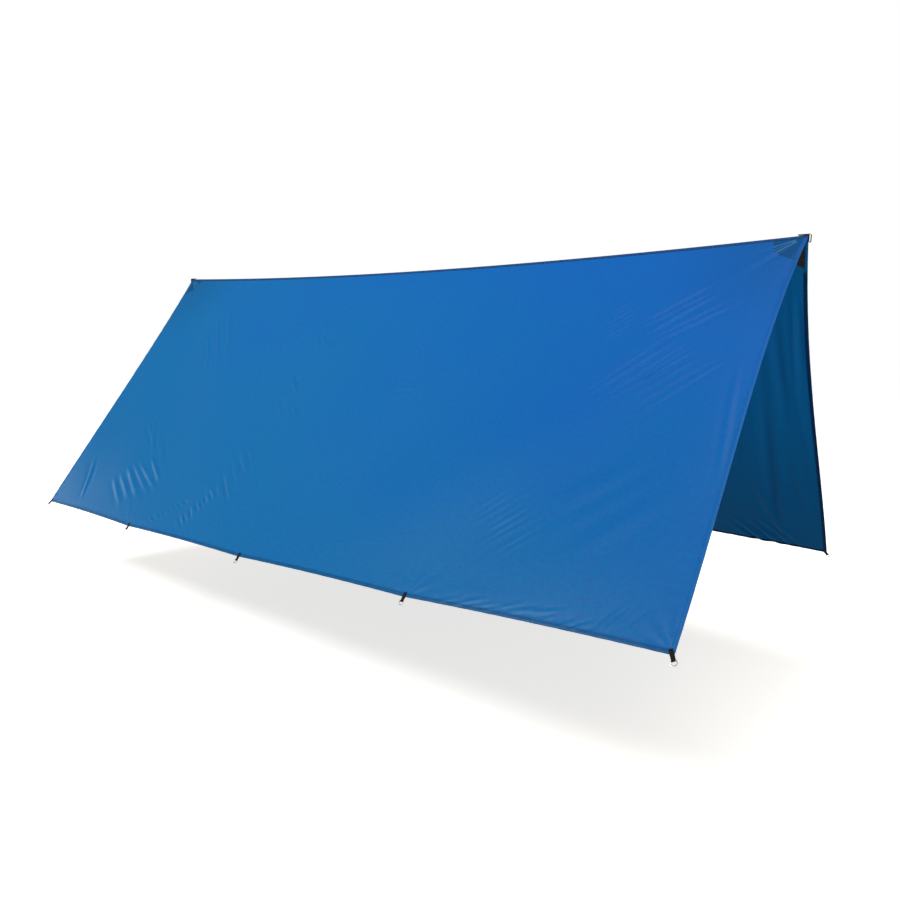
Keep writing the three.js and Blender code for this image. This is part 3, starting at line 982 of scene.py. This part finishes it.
def cloth_colour(look, flat, aside, up):
    """The cloth's colour, with painted shade near the ridge ends, over the tip patches and on the
    bottom hem, and where its threads are.
    """
    u, v = look.split(flat)
    drift = look.noise(flat, 1.1)
    lean = look.math("MULTIPLY_ADD", u, 0.30, look.times(v, -0.45))
    toward = look.math("ADD", lean, look.math("MULTIPLY_ADD", drift, 0.9, 0.05))
    # Teal towards the lower far side and royal towards the upper near side, with a random drift:
    # partly the cloth's own tone, partly painted in place of the left light's sheen
    colour = look.mix(look.ramp(toward, -0.1, 0.85), TEAL, ROYAL)
    grain = look.noise(flat, 85.0, 4.0, 0.75)
    colour = look.mix(look.ramp(grain, 0.35, 0.7, 0.0, 0.50), colour, MOTTLE)
    squares = [look.times(value, value) for value in (aside, v)]
    from_tip = look.math("SQRT", look.math("ADD", *squares))
    # Painted shade: darker towards both ridge ends
    colour = look.mix(look.ramp(from_tip, 0.45, 0.10, 0.0, 0.22), colour, SHADE)
    inside = patch_distance(look, aside, v)
    off_hem = look.ramp(aside, HEM_WIDTH - 0.001, HEM_WIDTH)
    covered = look.times(look.ramp(inside, -0.0006, 0.0006), off_hem)
    # Painted shade where the black tip patch lies behind the thin cloth
    colour = look.mix(look.times(covered, 0.60), colour, SHADE)
    # Painted shade on the bottom hem, whose folded layers let less light through
    in_hem = look.ramp(up, HEM_WIDTH + 0.0008, HEM_WIDTH - 0.0008)
    colour = look.mix(look.times(in_hem, 0.50), colour, SHADE)
    edge = look.math("MINIMUM", aside, up)
    along = look.math("ADD", u, v)
    hem_row = look.dashes(along, edge, HEM_STITCH, STITCH_PITCH, STITCH_WIDTH)
    border = look.dashes(along, inside, STITCH_INSET, STITCH_PITCH, STITCH_WIDTH)
    plain = look.math("MAXIMUM", hem_row, border)
    colour = look.mix(look.times(plain, 0.8), colour, THREAD)
    bearing = look.math("ARCTAN2", v, aside)
    radial = look.times(radial_stitches(look, bearing, from_tip), covered)
    # The fan stitches over the patches, in the paler thread
    colour = look.mix(look.times(radial, 0.9), colour, PALE_THREAD)
    return colour, look.math("MAXIMUM", plain, radial)


def cloth_surface(look, flat, stitches):
    """The bump of the weave, its uneven yarns, fine creasing and the stitches."""
    u, v = look.split(flat)
    surface = look.bump(look.weave(u, v, 0.0011), 0.00006, 0.5)
    slubs = look.node("Mapping", Vector=flat, Scale=(34, 260, 1))
    surface = look.bump(look.noise(slubs.outputs["Vector"], 1.0), 0.00025, 0.30, surface)
    surface = look.bump(look.noise(flat, 42.0, 3.0, 0.55), 0.0012, 0.22, surface)
    return look.bump(stitches, -0.0003, 0.8, surface)


def painted_inner_shade(look, colour, flat, aside, up):
    """The cloth's inner side with painted shade: shifted to teal, darker towards the hem, and the
    turned hems painted darkest.
    """
    _, v = look.split(flat)
    colour = look.mix(0.6, colour, TEAL)
    # Painted shade, deeper towards the hem
    colour = look.mix(look.ramp(v, 0.0, 1.4, 0.16, 0.78), colour, SHADE)
    edge = look.math("MINIMUM", aside, up)
    turned = look.ramp(edge, HEM_WIDTH + 0.0008, HEM_WIDTH - 0.0008)
    below_patch = look.ramp(v, PATCH_REACH, PATCH_REACH + 0.02, 0.2, 0.85)
    # Painted shade on the turned hems, lighter beside the tip patches
    return look.mix(look.times(turned, below_patch), colour, HEM_PAINTED_SHADE)


def cloth_look(name, inner, gloss):
    """One side of the cloth. The inner side is a copy with painted shade."""
    look = Look(name)
    flat = look.uv("cloth")
    aside, up = look.split(look.uv("edges"))
    colour, stitches = cloth_colour(look, flat, aside, up)
    # The inner side gets painted shade
    if inner:
        colour = painted_inner_shade(look, colour, flat, aside, up)
    look.wear(colour, cloth_surface(look, flat, stitches))
    look.set(Roughness=0.35, IOR=1.45, Specular_IOR_Level=gloss)
    look.set(Sheen_Weight=0.05, Sheen_Roughness=0.4, Sheen_Tint=(0.1, 0.4, 1.0, 1))
    through = look.node("BsdfTranslucent", Color=look.mix(0.35, colour, (0.01, 0.33, 0.80, 1)))
    joined = look.node("MixShader", Fac=0.17)
    look.tree.links.new(look.shader.outputs[0], joined.inputs[1])
    look.tree.links.new(through.outputs[0], joined.inputs[2])
    look.tree.links.new(joined.outputs[0], look.output.inputs["Surface"])
    return look.material


def patch_look():
    look = Look("patch_nylon")
    flat = look.uv("cloth")
    u, v = look.split(flat)
    inside = patch_distance(look, u, v)
    mottle = look.noise(flat, 120.0, 3.0)
    dark, light = (0.008, 0.008, 0.010, 1), (0.016, 0.016, 0.019, 1)
    colour = look.mix(look.ramp(mottle, 0.3, 0.7), dark, light)
    along = look.math("ADD", u, v)
    stitches = look.dashes(along, inside, STITCH_INSET, STITCH_PITCH, STITCH_WIDTH)
    colour = look.mix(stitches, colour, (0.004, 0.025, 0.09, 1))
    surface = look.bump(look.weave(u, v, 0.0012), 0.0001, 0.7)
    look.wear(colour, look.bump(stitches, -0.0003, 0.8, surface))
    look.set(Roughness=0.72, Specular_IOR_Level=0.2)
    return look.material


def seam_look():
    look = Look("seam_tape")
    flat = look.uv("cloth")
    u, v = look.split(flat)
    mottle = look.noise(flat, 90.0, 3.0)
    dark, light = (0.004, 0.030, 0.100, 1), (0.007, 0.048, 0.150, 1)
    colour = look.mix(look.ramp(mottle, 0.3, 0.7), dark, light)
    rows = [look.dashes(u, v, at, STITCH_PITCH, STITCH_WIDTH) for at in (0.0030, 0.0160)]
    stitches = look.math("MAXIMUM", *rows)
    colour = look.mix(stitches, colour, (0.010, 0.060, 0.190, 1))
    surface = look.bump(look.weave(u, v, 0.0010), 0.0001, 0.6)
    look.wear(colour, look.bump(stitches, -0.0003, 0.8, surface))
    look.set(Roughness=0.75, Specular_IOR_Level=0.15)
    return look.material


def webbing_look():
    look = Look("black_webbing")
    flat = look.uv("cloth")
    u, v = look.split(flat)
    rib = look.math("SINE", look.times(v, 2 * math.pi * WEBBING_RIBS / WEBBING_WIDTH))
    pick = look.math("SINE", look.times(u, 2 * math.pi / 0.0009))
    thread = look.math("MULTIPLY_ADD", look.times(rib, pick), 0.5, 0.5)
    colour = look.mix(thread, (0.003, 0.003, 0.004, 1), (0.014, 0.013, 0.012, 1))
    fuzz = look.noise(flat, 900.0)
    colour = look.mix(look.ramp(fuzz, 0.5, 0.75, 0.0, 0.4), colour, (0.024, 0.022, 0.021, 1))
    surface = look.bump(thread, 0.00018, 0.9)
    look.wear(colour, look.bump(fuzz, 0.0001, 0.5, surface))
    look.set(Roughness=0.80, Specular_IOR_Level=0.12, Sheen_Weight=0.02, Sheen_Roughness=0.5)
    return look.material


def ring_look():
    look = Look("plated_steel")
    place = look.node("TexCoord").outputs["Object"]
    scuffs = look.noise(place, 700.0, 4.0, 0.6)
    bright, worn = (0.36, 0.37, 0.38, 1), (0.22, 0.22, 0.23, 1)
    dull = look.mix(look.ramp(scuffs, 0.45, 0.7), bright, worn)
    look.wear(dull, look.bump(scuffs, 0.00004, 0.5))
    look.feed(look.shader.inputs["Roughness"], look.ramp(scuffs, 0.3, 0.8, 0.2, 0.42))
    look.set(Metallic=1.0)
    return look.material


# ---- Room ----


def make_camera():
    azimuth, elevation, roll = map(math.radians, (CAMERA_AZIMUTH, CAMERA_ELEVATION, CAMERA_ROLL))
    level = math.cos(elevation)
    back = Vector((math.sin(azimuth) * level, -math.cos(azimuth) * level, math.sin(elevation)))
    right = Vector((0, 0, 1)).cross(back).normalized()
    up = back.cross(right)
    rolled_right = right * math.cos(roll) + up * math.sin(roll)
    rolled_up = up * math.cos(roll) - right * math.sin(roll)
    turn = Matrix((rolled_right, rolled_up, back)).transposed()
    data = bpy.data.cameras.new("camera")
    data.lens = CAMERA_LENS
    data.sensor_width = 36
    data.clip_end = 200
    camera = bpy.data.objects.new("camera", data)
    camera.matrix_world = Matrix.Translation(CAMERA_PLACE) @ turn.to_4x4()
    bpy.context.scene.collection.objects.link(camera)
    bpy.context.scene.camera = camera


def make_floor():
    height = cad_low.z - FLOOR_DROP
    half = FLOOR_SIZE / 2
    around = ((-half, -half), (half, -half), (half, half), (-half, half))
    corners = [(x, y, height) for x, y in around]
    floor = new_piece("floor", corners, [(0, 1, 2, 3)])
    look = Look("pale_floor")
    look.set(Base_Color=(0.80, 0.79, 0.755, 1), Roughness=0.9, Specular_IOR_Level=0.1)
    place = look.node("TexCoord").outputs["Object"]
    distance = look.node("VectorMath", {"operation": "LENGTH"}, Vector=place).outputs["Value"]
    away = look.ramp(distance, FLOOR_NEAR, FLOOR_FAR)
    look.feed(look.shader.inputs["Emission Color"], look.mix(away, SHADOW_TINT, (1, 1, 1, 1)))
    seen = look.node("LightPath").outputs["Is Camera Ray"]
    glow = look.ramp(away, 0, 1, FLOOR_GLOW, 1.0)
    lit = look.times(glow, look.ramp(seen, 0, 1, FLOOR_LIGHT, 1.0))
    look.feed(look.shader.inputs["Emission Strength"], lit)
    floor.data.materials.append(look.material)


def make_light(name, place, target, size, power):
    data = bpy.data.lights.new(name, "AREA")
    data.shape = "SQUARE"
    data.size = size
    data.energy = power
    light = bpy.data.objects.new(name, data)
    light.location = place
    aim = Vector(target) - Vector(place)
    light.rotation_euler = aim.to_track_quat("-Z", "Y").to_euler()
    bpy.context.scene.collection.objects.link(light)


def make_room():
    scene = bpy.context.scene
    scene.view_settings.view_transform = "Standard"
    world = bpy.data.worlds.new("studio")
    world.use_nodes = True
    nodes = world.node_tree.nodes
    links = world.node_tree.links
    backdrop = nodes.new("ShaderNodeLightPath")
    strength = nodes.new("ShaderNodeMapRange")
    strength.inputs["To Min"].default_value = ROOM_LIGHT
    strength.inputs["To Max"].default_value = 1.0
    links.new(backdrop.outputs["Is Camera Ray"], strength.inputs["Value"])
    links.new(strength.outputs["Result"], nodes["Background"].inputs["Strength"])
    nodes["Background"].inputs["Color"].default_value = (1, 1, 1, 1)
    scene.world = world
    make_floor()
    target = Vector((0, 0, -0.6))
    for name, toward, distance, size, power in LIGHTS:
        make_light(name, target + Vector(toward).normalized() * distance, target, size, power)


# ---- The scene ----


def paint(pieces, material):
    for piece in pieces:
        piece.data.materials.append(material)


def build():
    slopes = [Slope("front", -1), Slope("back", 1)]
    ends = (("near", 1), ("far", -1))
    seam = make_seam(*slopes)
    loops = [make_ridge_loop(*end) for end in ends]
    webbing = []
    rings = []
    cloth = []
    patches = []
    for slope in slopes:
        slope_patches = [make_patch(slope, *end) for end in ends]
        slope_webbing = []
        for k, tie in enumerate(slope.ties):
            lean = math.radians(CORNER_LEAN) if k in (0, TIE_COUNT - 1) else 0.0
            slope_webbing.append(make_tie_webbing(slope, tie, lean))
            rings.append(make_ring(tie))
        sheet = make_sheet(slope)
        flat_length = float(max(slope.tie_reach))
        area = 2 * RIDGE_END * float(slope.length(np.linspace(-RIDGE_END, RIDGE_END, 200)).mean())
        cloth.append(sheet)
        patches += slope_patches
        webbing += slope_webbing
    paint(cloth, cloth_look("coated_nylon", False, 0.13))
    # The inner face's material: the same cloth with painted shade
    paint(cloth, cloth_look("coated_nylon_inside", True, 0.03))
    paint(patches, patch_look())
    paint([seam], seam_look())
    paint(loops + webbing, webbing_look())
    paint(rings, ring_look())


make_camera()
make_room()
build()
